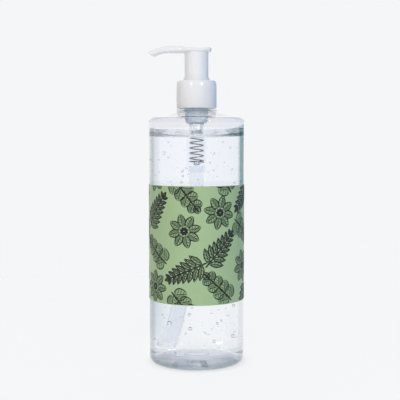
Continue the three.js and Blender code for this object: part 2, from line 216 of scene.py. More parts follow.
# PET bends light by 1.57, but a dry thin wall hardly moves what stands behind it, so the shoulder and
# the neck have less
wallLook = {"name": "clear blown PET", "ior": 1.57, "roughLow": 0.0, "roughHigh": 0.03, "waveMm": 26,
            "waveDepthMm": 0.05, "upright": 1, "tint": "#FFFFFF", "edge": paintedEdgeLook}
# the shoulder's faint grey tint is painted shade, so that its slope shows
shoulderShadeLook = {**wallLook, "name": "clear PET of the shoulder", "ior": 1.16, "tint": "#F7F7F8", "edge": None}
neckLook = {**wallLook, "name": "clear PET of the neck", "ior": 1.2, "roughLow": 0.25, "roughHigh": 0.35,
            "edge": None}
# the heel's grey-green tint is partly the thick plastic's own and partly painted shade at the foot
heelShadeLook = {"name": "thick clear PET with painted shade", "ior": 1.57, "roughLow": 0.02, "roughHigh": 0.12, "waveMm": 2.6,
            "waveDepthMm": 0.09, "upright": 0.2, "tint": "#E6EDEC", "edge": None}


def paintedEdgeShade(tree, place, look):
    # painted shade and reflection: where the wall is seen at a grazing angle its colour is painted grey at
    # the left, and at the right a grey-green above the label and near white below it; the sides are fixed to
    # the bottle, not cast by the room
    edge = look["edge"]
    facing = addNode(tree, "ShaderNodeLayerWeight", {"Blend": 0.5}).outputs["Facing"]
    amount = addNode(tree, "ShaderNodeMapRange", {"Value": facing, "From Min": edge["from"],
                                                  "From Max": edge["to"]})
    split = addNode(tree, "ShaderNodeSeparateXYZ", {0: place})
    side = addNode(tree, "ShaderNodeMapRange", {"Value": split.outputs["X"], "From Min": -edge["sideMm"] * mm,
                                                "From Max": edge["sideMm"] * mm})
    high = addNode(tree, "ShaderNodeMapRange", {
        "Value": split.outputs["Z"], "From Min": (edge["highMm"] - edge["blendMm"]) * mm,
        "From Max": (edge["highMm"] + edge["blendMm"]) * mm})
    right = addNode(tree, "ShaderNodeMix", {"Factor": high.outputs[0], "A": linear(edge["lowRight"]),
                                            "B": linear(edge["right"])}, data_type="RGBA")
    both = addNode(tree, "ShaderNodeMix", {"Factor": side.outputs[0], "A": linear(edge["left"]),
                                           "B": right.outputs["Result"]}, data_type="RGBA")
    tint = addNode(tree, "ShaderNodeMix", {"Factor": amount.outputs[0], "A": linear(look["tint"]),
                                           "B": both.outputs["Result"]}, data_type="RGBA")
    return tint.outputs["Result"]


def clearPet(look):
    # blown PET: clear and glossy, with the faint waves that blowing leaves in the wall; the heel is painted
    # greyer, partly the tint of its thicker plastic and partly painted shade for the dark band at the foot,
    # and its waves stand upright
    material, tree = startMaterial(look["name"])
    place = addNode(tree, "ShaderNodeTexCoord").outputs["Object"]
    drawn = addNode(tree, "ShaderNodeMapping", {"Vector": place, "Scale": (1, 1, look["upright"])})
    wave = addNode(tree, "ShaderNodeTexNoise", {"Vector": drawn.outputs[0],
                                                "Scale": perMetre(look["waveMm"]), "Detail": 1})
    bump = addNode(tree, "ShaderNodeBump", {"Height": wave.outputs["Fac"], "Strength": 1,
                                            "Distance": look["waveDepthMm"] * mm})
    rough = addNode(tree, "ShaderNodeMapRange", {"Value": wave.outputs["Fac"], "To Min": look["roughLow"],
                                                 "To Max": look["roughHigh"]})
    # the clear wall's colour takes the painted edge shade where its look has one
    body = addNode(tree, "ShaderNodeBsdfPrincipled", {
        "Base Color": paintedEdgeShade(tree, place, look) if look["edge"] else linear(look["tint"]),
        "Roughness": rough.outputs[0], "IOR": look["ior"], "Transmission Weight": 1,
        "Normal": bump.outputs[0]})
    finishClear(tree, body.outputs[0])
    return material


gelLook = {"ior": 1.36, "tint": "#FCFDFF", "hazeMm": 30, "roughHigh": 0.01}


def clearGel():
    # alcohol gel: clear as water, with a faint cool tint and the slightest haze
    look = gelLook
    material, tree = startMaterial("clear alcohol gel")
    place = addNode(tree, "ShaderNodeTexCoord").outputs["Object"]
    haze = addNode(tree, "ShaderNodeTexNoise", {"Vector": place, "Scale": perMetre(look["hazeMm"]),
                                                "Detail": 1})
    rough = addNode(tree, "ShaderNodeMapRange", {"Value": haze.outputs["Fac"], "To Min": 0,
                                                 "To Max": look["roughHigh"]})
    body = addNode(tree, "ShaderNodeBsdfPrincipled", {
        "Base Color": linear(look["tint"]), "Roughness": rough.outputs[0], "IOR": look["ior"],
        "Transmission Weight": 1})
    finishClear(tree, body.outputs[0])
    return material


def mouldedPlastic(name, colour, shade, rough, spread=0.15, cloudMm=9, grainMm=0.5, grainDepthMm=0.004,
                   see=0.0, ior=1.49, soft=0.0, softMm=1.2):
    # moulded polyolefin: smooth from the tool, with a fine grain, a little cloudiness in its colour
    # and, where it is natural, light that passes through it; the grain is coarser than the real one,
    # which would be too fine to show
    material, tree = startMaterial(name)
    place = addNode(tree, "ShaderNodeTexCoord").outputs["Object"]
    cloud = addNode(tree, "ShaderNodeTexNoise", {"Vector": place, "Scale": perMetre(cloudMm), "Detail": 2})
    tone = addNode(tree, "ShaderNodeMix", {"Factor": cloud.outputs["Fac"], "A": linear(colour),
                                           "B": linear(shade)}, data_type="RGBA")
    grain = addNode(tree, "ShaderNodeTexNoise", {"Vector": place, "Scale": perMetre(grainMm), "Detail": 3})
    bump = addNode(tree, "ShaderNodeBump", {"Height": grain.outputs["Fac"], "Strength": 1,
                                            "Distance": grainDepthMm * mm})
    gloss = addNode(tree, "ShaderNodeMapRange", {
        "Value": cloud.outputs["Fac"], "To Min": rough * (1 - spread), "To Max": rough * (1 + spread)})
    body = addNode(tree, "ShaderNodeBsdfPrincipled", {
        "Base Color": tone.outputs["Result"], "Roughness": gloss.outputs[0], "IOR": ior,
        "Transmission Weight": see, "Subsurface Weight": soft, "Subsurface Scale": softMm * mm,
        "Subsurface Radius": (1, 1, 1), "Normal": bump.outputs[0]})
    if see > 0.5:
        finishClear(tree, body.outputs[0])
    else:
        addNode(tree, "ShaderNodeOutputMaterial", {"Surface": body.outputs[0]})
    return material


def drawnSteel(name, colour, rough, spread=0.3, scratchMm=0.35):
    # drawn stainless wire: bright metal whose gloss is broken by fine scratches
    material, tree = startMaterial(name)
    place = addNode(tree, "ShaderNodeTexCoord").outputs["Object"]
    scratch = addNode(tree, "ShaderNodeTexNoise", {"Vector": place, "Scale": perMetre(scratchMm),
                                                   "Detail": 3})
    gloss = addNode(tree, "ShaderNodeMapRange", {
        "Value": scratch.outputs["Fac"], "To Min": rough * (1 - spread), "To Max": rough * (1 + spread)})
    body = addNode(tree, "ShaderNodeBsdfPrincipled", {
        "Base Color": linear(colour), "Metallic": 1, "Roughness": gloss.outputs[0]})
    addNode(tree, "ShaderNodeOutputMaterial", {"Surface": body.outputs[0]})
    return material


def printedFilm(name, colour, shade, rough, spread=0.1, mottleMm=5, peelMm=1.2, peelDepthMm=0.006,
                ior=1.49, passes=0.0, glows=0.0):
    # printed polypropylene film: an even satin ink layer with a slight mottle from the press; where it
    # passes light its shadow is pale and green, and where it glows its back is lit from outside
    material, tree = startMaterial(name)
    place = addNode(tree, "ShaderNodeTexCoord").outputs["Object"]
    mottle = addNode(tree, "ShaderNodeTexNoise", {"Vector": place, "Scale": perMetre(mottleMm), "Detail": 4})
    tone = addNode(tree, "ShaderNodeMix", {"Factor": mottle.outputs["Fac"], "A": linear(colour),
                                           "B": linear(shade)}, data_type="RGBA")
    peel = addNode(tree, "ShaderNodeTexNoise", {"Vector": place, "Scale": perMetre(peelMm), "Detail": 2})
    bump = addNode(tree, "ShaderNodeBump", {"Height": peel.outputs["Fac"], "Strength": 1,
                                            "Distance": peelDepthMm * mm})
    gloss = addNode(tree, "ShaderNodeMapRange", {
        "Value": mottle.outputs["Fac"], "To Min": rough * (1 - spread), "To Max": rough * (1 + spread)})
    body = addNode(tree, "ShaderNodeBsdfPrincipled", {
        "Base Color": tone.outputs["Result"], "Roughness": gloss.outputs[0], "IOR": ior,
        "Normal": bump.outputs[0]})
    surface = body.outputs[0]
    if glows:
        behind = addNode(tree, "ShaderNodeBsdfTranslucent", {"Color": linear(colour)})
        mix = addNode(tree, "ShaderNodeMixShader", {0: glows, 1: surface, 2: behind.outputs[0]})
        surface = mix.outputs[0]
    if passes:
        ray = addNode(tree, "ShaderNodeLightPath")
        share = addNode(tree, "ShaderNodeMath", {0: ray.outputs["Is Shadow Ray"], 1: passes},
                        operation="MULTIPLY")
        through = addNode(tree, "ShaderNodeBsdfTransparent", {"Color": linear(colour)})
        mix = addNode(tree, "ShaderNodeMixShader", {0: share.outputs[0], 1: surface, 2: through.outputs[0]})
        surface = mix.outputs[0]
    addNode(tree, "ShaderNodeOutputMaterial", {"Surface": surface})
    return material


wallPet = clearPet(wallLook)
heelShadePet = clearPet(heelShadeLook)
shoulderPet = clearPet(shoulderShadeLook)
neckPet = clearPet(neckLook)
gelMaterial = clearGel()
whitePlastic = mouldedPlastic("white moulded polypropylene", "#F5F4F4", "#F1F0F0", 0.17, soft=0.08)
# natural plastic behind the wall or in gel bends light by little more than what stands round it
naturalDry = mouldedPlastic("natural polypropylene", "#DCE9F5", "#D4E3F1", 0.3, see=0.55, ior=1.3)
# the housing in the neck is painted whiter than the cup below: painted light that lifts the shade under the
# collar
naturalNeckLightened = mouldedPlastic("natural polypropylene lightened in the neck's shade", "#FAFCFE", "#F5F9FC", 0.2, see=0.85,
                             ior=1.2)
naturalThin = mouldedPlastic("thin natural polypropylene", "#F8FAFC", "#F2F6F9", 0.12, see=0.95, ior=1.18)
naturalWet = mouldedPlastic("natural polypropylene in gel", "#FAFBFD", "#F6F8FB", 0.05, see=1, ior=1.09)
tubePlastic = mouldedPlastic("natural polyethylene in gel", "#F8F9FB", "#F3F5F9", 0.12, see=1, ior=1.08)
gasketFoam = mouldedPlastic("polyethylene foam", "#F0F0EC", "#E6E6E2", 0.8, grainMm=0.3, grainDepthMm=0.05)
springSteel = drawnSteel("drawn stainless steel", "#7C8188", 0.3)
ballSteel = drawnSteel("polished stainless steel", "#E6E9EC", 0.1)
greenFilm = printedFilm("green printed film", "#A9C293", "#A4BD8D", 0.42, passes=0.95)
filmBack = printedFilm("white film backing", "#F2F3F5", "#ECEDF0", 0.5, glows=0.12)
leafInk = printedFilm("mid green ink", "#8FAC7D", "#86A475", 0.45, passes=0.5)
lineInk = printedFilm("dark green ink", "#172214", "#121B10", 0.45)
print("materials made")


# Bottle

bottleSize = {"wall": 0.8, "floor": 1.2, "foot": 5, "ringWidth": 2.4, "ringRound": 1.2, "punt": 5.5,
              "puntSlope": 9, "puntRound": 2, "gate": 6, "gateRise": 1.1, "gateSlope": 0.5, "gateEdge": 0.25,
              "gateFoot": 0.3, "shoulderRise": 4.2, "shoulderRound": 2.6, "finish": 14.9, "bore": 9.6,
              "boreRound": 2.6, "neckWall": 1.05, "neckFoot": 0.4, "rim": 0.3, "ringReach": 3.35,
              "ringThick": 1.5, "ringEdge": 0.5, "rootReach": 1.9, "rootRise": 0.2, "rootRound": 0.8,
              "heel": 4.4, "heelFrom": 26, "overGel": 3.8, "segments": 144}
threadSize = {"pitch": 3.175, "turns": 1.5, "depth": 1.05, "sink": 0.15, "rootWidth": 2.0, "crestWidth": 0.8,
              "belowRim": 7.6, "fadeTurns": 0.12, "points": 130}

bottleHigh = nodeSpan("bottle")[1]
bottleRadius = bottleHigh[0]
neckTop = bottleHigh[2]
innerRadius = bottleRadius - bottleSize["wall"]
neckRadius = bottleSize["bore"] + bottleSize["neckWall"]
ringTop = neckTop - bottleSize["finish"]
ringBottom = ringTop - bottleSize["ringThick"]
neckRoot = ringBottom - bottleSize["rootRise"]
wallTop = neckRoot - bottleSize["shoulderRise"]
gelTop = nodeSpan("gel_fill")[1][2]
dryFrom = gelTop + bottleSize["overGel"]


def floorCorners(lift):
    # base from its middle out to the standing ring
    s = bottleSize
    ring = bottleRadius - s["foot"] - s["ringWidth"]
    punt, gate = s["punt"] + lift, s["punt"] + s["gateRise"] + lift
    return [(0, gate), (s["gate"], gate, s["gateEdge"]), (s["gate"] + s["gateSlope"], punt, s["gateFoot"]),
            (ring - s["puntSlope"], punt, s["puntRound"]), (ring, lift, s["ringRound"])]


def threadRidge():
    # a ridge that climbs one pitch a turn, r = neck + depth, and shrinks to a point at both ends
    t = threadSize
    turn = np.linspace(0, t["turns"], t["points"])[:, None]
    fade = np.clip(np.minimum(turn, t["turns"] - turn) / t["fadeTurns"], 0, 1) ** 0.5
    outward = np.array([-t["sink"], t["depth"], t["depth"], -t["sink"]]) * fade
    upward = np.array([-t["rootWidth"], -t["crestWidth"], t["crestWidth"], t["rootWidth"]]) / 2 * fade
    height = neckTop - t["belowRim"] - t["pitch"] * t["turns"] / 2 + t["pitch"] * turn
    radius, angle = neckRadius + outward, fullTurn * turn
    ridge = np.stack([radius * np.cos(angle), radius * np.sin(angle), height + upward], -1)
    return ridge, gridQuads(t["points"], 4, False, True)


def wallKind(middles):
    # the heel is 1, the shoulder and the dry wall above the gel 2, the neck 3 and the rest 0
    radius, height = np.hypot(middles[:, 0], middles[:, 1]), middles[:, 2]
    heel = (height < bottleSize["heel"]) & (radius > bottleSize["heelFrom"])
    return np.select([heel, height > neckRoot, height > dryFrom], [1, 3, 2], 0)


def makeBottle():
    # outer wall from the base to the neck's rim and the inner wall back down, turned round the axis
    s = bottleSize
    root, ringReach = neckRadius + s["rootReach"], neckRadius + s["ringReach"]
    shell = roundedProfile([
        *floorCorners(0), (bottleRadius, 0, s["foot"]), (bottleRadius, dryFrom),
        (bottleRadius, wallTop, s["shoulderRound"]), (root, neckRoot, s["rootRound"]), (root, ringBottom),
        (ringReach, ringBottom, s["ringEdge"]), (ringReach, ringTop, s["ringEdge"]),
        (neckRadius, ringTop, s["neckFoot"]), (neckRadius, neckTop, s["rim"]), (s["bore"], neckTop, s["rim"]),
        (s["bore"], neckRoot - s["wall"], s["boreRound"]),
        (innerRadius, wallTop - s["wall"], s["shoulderRound"]), (innerRadius, dryFrom),
        (innerRadius, s["floor"], s["foot"]), *floorCorners(s["floor"])[::-1]])
    return makePiece("clear_bottle", [(*turned(shell, s["segments"]), wallKind), (*threadRidge(), 3)],
                     [wallPet, heelShadePet, shoulderPet, neckPet])


dress(makeBottle(), "bottle", "clear_pet", "bottle")


# Gel with its bubbles

gelSize = {"intoWall": 0.12, "solidRise": 2.2, "rise": 5.8, "width": 1.7, "frontDip": 1.2, "clingRise": 3.4,
           "clingSpread": 0.55, "edgeZone": 9, "edgeRows": 46, "topRows": 12, "segments": 128}
bubbleSize = {"count": 420, "smallest": 0.2, "largest": 0.85, "sizePower": 2.5, "grid": (6, 8),
              "frontGrid": (10, 16), "clear": 8.5, "wallGap": 2, "frontGap": 3, "lowest": 9, "belowTop": 3,
              "seed": 11}
# larger bubbles near the front wall: across, height and radius
frontBubbles = [(-17.5, 31, 1.9), (24, 42, 1.3), (23.5, 21, 1.5), (11.5, 19.5, 1.3), (-4, 28.5, 1.4),
                (-8.6, 131, 0.9), (-9, 134, 0.75), (-9.6, 127, 0.9), (16, 33, 0.9), (5, 26, 0.7),
                (-4.5, 38, 1.2), (-22, 36, 0.8), (-7, 25, 0.8), (13.5, 31.5, 1.0)]

gelLevel = gelTop - gelSize["solidRise"]


def hollowBalls(middle, size, rows, columns):
    # hollow spheres in the gel, so their faces point into the hollow: centre + radius (sin b cos a,
    # sin b sin a, cos b)
    a = np.linspace(0, fullTurn, columns, endpoint=False)[None, :]
    b = np.linspace(0, math.pi, rows)[:, None]
    ball = np.stack([np.sin(b) * np.cos(a), np.sin(b) * np.sin(a), np.cos(b) + 0 * a], -1).reshape(-1, 3)
    points = middle[:, None] + size[:, None, None] * ball
    step = np.arange(len(middle))[:, None, None] * len(ball)
    return points, (gridQuads(rows, columns, False, True) + step).reshape(-1, 4)


def makeBubbles():
    # small bubbles drawn evenly through the gel, and the larger ones at their places near the front
    s = bubbleSize
    random = np.random.default_rng(s["seed"])
    outer = innerRadius - s["wallGap"]
    distance = np.sqrt(random.uniform(s["clear"] ** 2, outer ** 2, s["count"]))
    bearing = random.uniform(0, fullTurn, s["count"])
    height = random.uniform(s["lowest"], gelLevel - s["belowTop"], s["count"])
    size = s["smallest"] + (s["largest"] - s["smallest"]) * random.random(s["count"]) ** s["sizePower"]
    middle = np.stack([distance * np.cos(bearing), distance * np.sin(bearing), height], -1)
    across, up, radius = np.array(frontBubbles).T
    depth = -np.sqrt((innerRadius - s["frontGap"]) ** 2 - across ** 2)
    front = np.stack([across, depth, up], -1)
    return [(*hollowBalls(middle, size, *s["grid"]), 0), (*hollowBalls(front, radius, *s["frontGrid"]), 0)]


def makeGel():
    # the gel wets the wall, so its skin lies a hair within the wall's plastic; its top climbs the wall as
    # rise * exp(-distance to the wall / width), higher where it still clings to the right side, and the
    # thick gel has settled a little lower towards the front
    s = gelSize
    radius = innerRadius + s["intoWall"]
    foot = bottleSize["floor"] - s["intoWall"]
    corners = [*floorCorners(foot), (radius, foot, bottleSize["foot"]), (radius, gelLevel)]
    lower = roundedProfile(corners)[:-blendSteps]
    inward = np.concatenate([np.linspace(0, s["edgeZone"], s["edgeRows"]),
                             np.linspace(s["edgeZone"] + 1, radius, s["topRows"])])
    top = np.stack([radius - inward, gelLevel + 0 * inward], -1)
    points, quads = turned(np.concatenate([lower, top]), s["segments"])
    angle = np.linspace(0, fullTurn, s["segments"], endpoint=False)
    turn = np.minimum(angle, fullTurn - angle)
    rise = s["rise"] + s["clingRise"] * np.exp(-(turn / s["clingSpread"]) ** 2)
    surface = points[len(lower):]
    surface[..., 2] += rise * np.exp(-inward / s["width"])[:, None]
    surface[..., 2] += s["frontDip"] * np.minimum(surface[..., 1], 0) / radius
    return makePiece("gel", [(points, quads, 0), *makeBubbles()], [gelMaterial], sharpDegrees=60)


dress(makeGel(), "bottle", "clear_gel", "gel_fill")


# Label and its print

labelSize = {"film": 0.15, "gap": 0.06, "bareStrip": 27.3, "across": 260, "up": 24}
labelLow, labelHigh = nodeSpan("wrap_label")
labelRadius = bottleRadius + labelSize["gap"]
labelHalf = math.pi * bottleRadius - labelSize["bareStrip"] / 2
labelHeight = labelHigh[2] - labelLow[2]


def wrap(across, up, lift):
    # flat label coordinates to the wall: across is the arc from the front, up is from the lower edge
    angle = across / bottleRadius - math.pi / 2
    radius = labelRadius + lift
    return np.stack([radius * np.cos(angle), radius * np.sin(angle), labelLow[2] + up + 0 * angle], -1)


def filmSide(middles):
    # the printed outer face is 0 and the backing 1
    return (np.hypot(middles[:, 0], middles[:, 1]) < labelRadius + labelSize["film"] / 2) * 1


def makeLabel():
    # closed film: its outer face, edge, inner face and edge as one loop, carried along the arc
    s = labelSize
    rise = np.linspace(0, labelHeight, s["up"])
    up = np.concatenate([rise, rise[::-1]])[None, :]
    lift = np.repeat([s["film"], 0.0], s["up"])[None, :]
    across = np.linspace(-labelHalf, labelHalf, s["across"])[:, None]
    loop = wrap(across, up, lift)
    ends = loop[[0, -1]].mean(1, keepdims=True) + 0 * loop[[0, -1]]
    rows = np.concatenate([ends[:1], loop, ends[1:]])
    quads = gridQuads(len(rows), 2 * s["up"], False, True)[:, ::-1]
    return makePiece("label", [(rows, quads, filmSide)], [greenFilm, filmBack], sharpDegrees=30)


dress(makeLabel(), "bottle", "label_film", "wrap_label")

printSize = {"points": 11, "veinPoints": 4, "tonePoints": 8, "toneAcross": 5, "margin": 0.4,
             "line": 0.36, "midrib": 0.8, "outline": 1.15, "stem": 1.5, "lineEnds": 0.45, "vein": 0.2,
             "veinFrom": 0.08, "veinTo": 0.7, "veinAhead": 0.16, "veinOut": 0.9, "veins": ((1, 4), (-1, 7)),
             "lineLift": 0.05, "leafLift": 0.04, "columnStep": 24.5, "columnStart": 0.35, "rowStep": 25,
             "rowStart": 0.45, "rows": (-1, 4), "turn": 0.35, "shift": 1.2, "seed": 5}
frondSize = {"size": 31, "pairs": 7, "from": 0.12, "to": 0.88, "leaf": 0.36, "slim": 0.34, "open": 1.05,
             "closing": 0.3, "tipFrom": 0.9, "tip": (0.17, 0.07), "round": 1}
sprigSize = {"size": 29, "pairs": 4, "from": 0.1, "to": 0.76, "leaf": 0.33, "slim": 0.86, "open": 0.95,
             "closing": 0, "tipFrom": 0.82, "tip": (0.2, 0.16), "round": 0.62}
blossomSize = {"size": 24, "petals": 8, "petalFrom": 0.12, "petal": (0.37, 0.21), "round": 0.75,
               "seedFrom": 0.015, "seed": (0.11, 0.055), "seedTurn": 0.3}
# leaf rows are: base across, base up, angle, length, width, roundness


def pairedLeaves(s, along, side, length):
    # leaves in pairs along a stem, which close up towards the tip, and one leaf at the tip
    even = np.ones(len(along))
    leaves = np.stack([s["size"] * along, 0 * along, side * (s["open"] - s["closing"] * along), length,
                       s["slim"] * length, s["round"] * even], -1)
    tipLength, tipWidth = s["tip"]
    tip = [[s["size"] * s["tipFrom"], 0, 0, s["size"] * tipLength, s["size"] * tipWidth, s["round"]]]
    return np.concatenate([leaves, tip])


def alongStem(s):
    # places of the leaves on the stem, and the side that each is on
    along = np.repeat(np.linspace(s["from"], s["to"], s["pairs"]), 2)
    return along, np.tile([1, -1], s["pairs"])


def frond():
    # narrow leaflets, shorter towards the tip: length = size * leaf * sqrt(1.1 - place on the stem)
    along, side = alongStem(frondSize)
    length = frondSize["size"] * frondSize["leaf"] * (1.1 - along) ** 0.5
    return pairedLeaves(frondSize, along, side, length)


def coinSprig():
    # round leaves: length = size * leaf * (1.05 - half the place on the stem)
    along, side = alongStem(sprigSize)
    length = sprigSize["size"] * sprigSize["leaf"] * (1.05 - 0.5 * along)
    return pairedLeaves(sprigSize, along, side, length)


def blossom():
    # petals round a middle of short seeds
    s = blossomSize
    size, turn, even = s["size"], np.linspace(0, fullTurn, s["petals"], endpoint=False), np.ones(s["petals"])

    def ring(radius, heading, length, width, roundness):
        across, up = size / 2 + size * radius * np.cos(turn), size * radius * np.sin(turn)
        return np.column_stack([across, up, heading, even * size * length, even * size * width,
                                even * roundness])

    return np.concatenate([ring(s["petalFrom"], turn, *s["petal"], s["round"]),
                           ring(s["seedFrom"], turn + s["seedTurn"], *s["seed"], 1)])


# motif, its size, its heading in radians and whether it has a stem
motifs = ((frond, frondSize["size"], 0.75, True), (coinSprig, sprigSize["size"], 2.3, True),
          (blossom, blossomSize["size"], 0, False))


def placeMotifs():
    # half-drop rows of fronds, sprigs and blossoms, each turned a little by a seeded draw
    s = printSize
    random = np.random.default_rng(s["seed"])
    leaves, stems = [], []
    for column in range(int(2 * labelHalf / s["columnStep"]) + 2):
        odd = column % 2
        for row in range(*s["rows"]):
            draw, size, heading, stemmed = motifs[(column + 2 * row) % len(motifs)]
            shape = draw()
            heading += math.pi * odd + random.uniform(-s["turn"], s["turn"])
            middle = np.array([-labelHalf + (column + s["columnStart"]) * s["columnStep"],
                               (row + 0.5 * odd + s["rowStart"]) * s["rowStep"]])
            middle += random.uniform(-s["shift"], s["shift"], 2)
            cosine, sine = math.cos(heading), math.sin(heading)
            turn = np.array([[cosine, sine], [-sine, cosine]])
            start = middle - np.array([size / 2, 0]) @ turn
            place = shape[:, :2] @ turn + start
            leaves.append(np.column_stack([place, shape[:, 2] + heading, shape[:, 3:]]))
            if stemmed:
                stems.append((*start, heading, size, 0, 1))
    return np.concatenate(leaves), np.array(stems)


def alongLeaf(leaves, t, out):
    # points of one stroke on every leaf: base + length t ahead + half width * out to the side
    angle = leaves[:, 2]
    ahead = np.stack([np.cos(angle), np.sin(angle)], -1)[:, None]
    aside = np.stack([-np.sin(angle), np.cos(angle)], -1)[:, None]
    reach = leaves[:, 3, None] * t
    swing = leaves[:, 4, None] / 2 * out
    return leaves[:, None, :2] + ahead * reach[..., None] + aside * swing[..., None]


def leafEdge(leaves, t):
    # a leaf's half width along its length: sin(pi t ^ 0.85) raised to its roundness
    return np.clip(np.sin(math.pi * t ** 0.85), 0, 1) ** leaves[:, 5, None]


def ribbons(paths, halfWidth, low, high, across):
    # flat strokes on the label: points across the path on top, the same points below, and both are
    # held inside the label's edge
    margin = printSize["margin"]
    ahead = np.gradient(paths, axis=1)
    ahead /= np.linalg.norm(ahead, axis=2, keepdims=True)
    aside = np.stack([-ahead[..., 1], ahead[..., 0]], -1)
    least = np.array([-labelHalf + margin, margin])
    most = np.array([labelHalf - margin, labelHeight - margin])
    kept = np.all((paths > least) & (paths < most), axis=2).any(1)
    share = np.linspace(-1, 1, across)
    share = np.concatenate([share, share[::-1]])[None, None, :, None]
    lift = np.repeat([high, low], across)
    spot = paths[kept][:, :, None] + aside[kept][:, :, None] * halfWidth[kept][:, :, None, None] * share
    spot = np.clip(spot, least, most)
    points = wrap(spot[..., 0], spot[..., 1], lift)
    strokes, steps = points.shape[:2]
    quads = gridQuads(steps, 2 * across, False, True)[:, ::-1]
    return points, (quads + np.arange(strokes)[:, None, None] * steps * 2 * across).reshape(-1, 4)


def makePrint():
    # leaf tone, then edges, midribs and stems, then veins that are closer on the shaded half
    s, film = printSize, labelSize["film"]
    low, lineTop, leafTop = film / 2, film + s["lineLift"], film + s["leafLift"]
    leaves, stems = placeMotifs()
    even, stemEven = np.ones((len(leaves), 1)), np.ones((len(stems), 1))

    t = np.linspace(0, 1, s["points"])[None] * even
    edge = leafEdge(leaves, t)
    taper = np.where((t > 0) & (t < 1), s["lineEnds"] + (1 - s["lineEnds"]) * np.sin(math.pi * t), 0)
    lines = [alongLeaf(leaves, t, side * edge) for side in (0, 1, -1)]
    widths = [s[kind] * s["line"] * taper for kind in ("midrib", "outline", "outline")]

    fine = np.linspace(0, 1, 3 * s["points"])[None] * stemEven
    stemPaths = alongLeaf(stems, fine, 0 * fine)
    stemWidth = np.where((fine > 0) & (fine < 1), s["stem"] * s["line"], 0)
    lineForms = [(*ribbons(np.concatenate(lines), np.concatenate(widths), low, lineTop, 2), 0),
                 (*ribbons(stemPaths, stemWidth, low, lineTop, 2), 0)]

    w = np.linspace(0, 1, s["veinPoints"])[None] * even
    veins = []
    for side, count in s["veins"]:
        for start in np.linspace(s["veinFrom"], s["veinTo"], count):
            out = side * s["veinOut"] * w * leafEdge(leaves, (start + s["veinAhead"]) * even)
            veins.append(alongLeaf(leaves, start + s["veinAhead"] * w, out))
    veinWidth = np.where((w > 0) & (w < 1), s["vein"], 0)
    veinForm = ribbons(np.concatenate(veins), np.tile(veinWidth, (len(veins), 1)), low, lineTop, 2)

    # rows of the tone lie closer at a leaf's ends, where its edge turns
    close = (1 - np.cos(np.linspace(0, math.pi, s["tonePoints"])))[None] / 2 * even
    body = leaves[:, 4, None] / 2 * leafEdge(leaves, close)
    toneForm = ribbons(alongLeaf(leaves, close, 0 * body), body, low, leafTop, s["toneAcross"])
    return (makePiece("print_lines", lineForms, [lineInk], sharpDegrees=180),
            makePiece("print_veins", [(*veinForm, 0)], [lineInk], sharpDegrees=180),
            makePiece("print_leaves", [(*toneForm, 0)], [leafInk], sharpDegrees=180))


for layer in makePrint():
    dress(layer, "bottle", "label_film")


# Pump: collar, ring, gasket and inner pieces

collarSize = {"wall": 1.8, "top": 1.5, "hole": 9.2, "holeEdge": 0.4, "edge": 1.5, "inEdge": 0.3,
              "shoulder": 6.4, "draw": 0.65, "foot": 0.5, "bandFrom": 1.4, "bandTo": 1.6, "bandDepth": 0.1,
              "segments": 96}
collarLow, collarHigh = nodeSpan("screw_collar")


def makeCollar():
    # turned cup with a hole in its top, a round top edge and a shallow band at the foot
    s = collarSize
    radius, bottom, top = collarHigh[0], collarLow[2], collarHigh[2]
    inside, band = radius - s["wall"], radius - s["bandDepth"]
    profile = roundedProfile([
        (inside, bottom, s["inEdge"]), (band, bottom, s["foot"]),
        (band, bottom + s["bandFrom"], s["bandDepth"]), (radius, bottom + s["bandTo"], s["bandDepth"]),
        (radius, top - s["shoulder"] / 2, s["shoulder"] / 2), (radius - s["draw"], top, s["edge"]),
        (s["hole"], top, s["holeEdge"]), (s["hole"], top - s["top"]), (inside, top - s["top"], s["inEdge"])])
    return makePiece("collar", [(*turned(profile, s["segments"], True), 0)], [whitePlastic])


dress(makeCollar(), "collar", "white_pp", "screw_collar")

ringSize = {"rimInner": 8.5, "rimOuter": 8.95, "flange": 1.2, "foot": 0.2, "edge": 0.22, "segments": 80}
lockLow, lockHigh = nodeSpan("lock_ring")


def makeLockRing():
    # thin turned rim on a flange
    s = ringSize
    bottom, top, flangeTop = lockLow[2], lockHigh[2], lockLow[2] + s["flange"]
    profile = roundedProfile([
        (s["rimInner"], bottom), (lockHigh[0], bottom), (lockHigh[0], flangeTop),
        (s["rimOuter"], flangeTop, s["foot"]), (s["rimOuter"], top, s["edge"]),
        (s["rimInner"], top, s["edge"])])
    return makePiece("ring", [(*turned(profile, s["segments"], True), 0)], [whitePlastic])


dress(makeLockRing(), "pump_body", "white_pp", "lock_ring")

gasketSize = {"inner": 9.55, "edge": 0.2, "segments": 64}
gasketLow, gasketHigh = nodeSpan("neck_gasket")


def makeGasket():
    # flat turned ring
    s = gasketSize
    profile = roundedProfile([
        (s["inner"], gasketLow[2], s["edge"]), (gasketHigh[0], gasketLow[2], s["edge"]),
        (gasketHigh[0], gasketHigh[2], s["edge"]), (s["inner"], gasketHigh[2], s["edge"])])
    return makePiece("gasket", [(*turned(profile, s["segments"], True), 0)], [gasketFoam])


dress(makeGasket(), "pump_body", "gasket_foam", "neck_gasket")

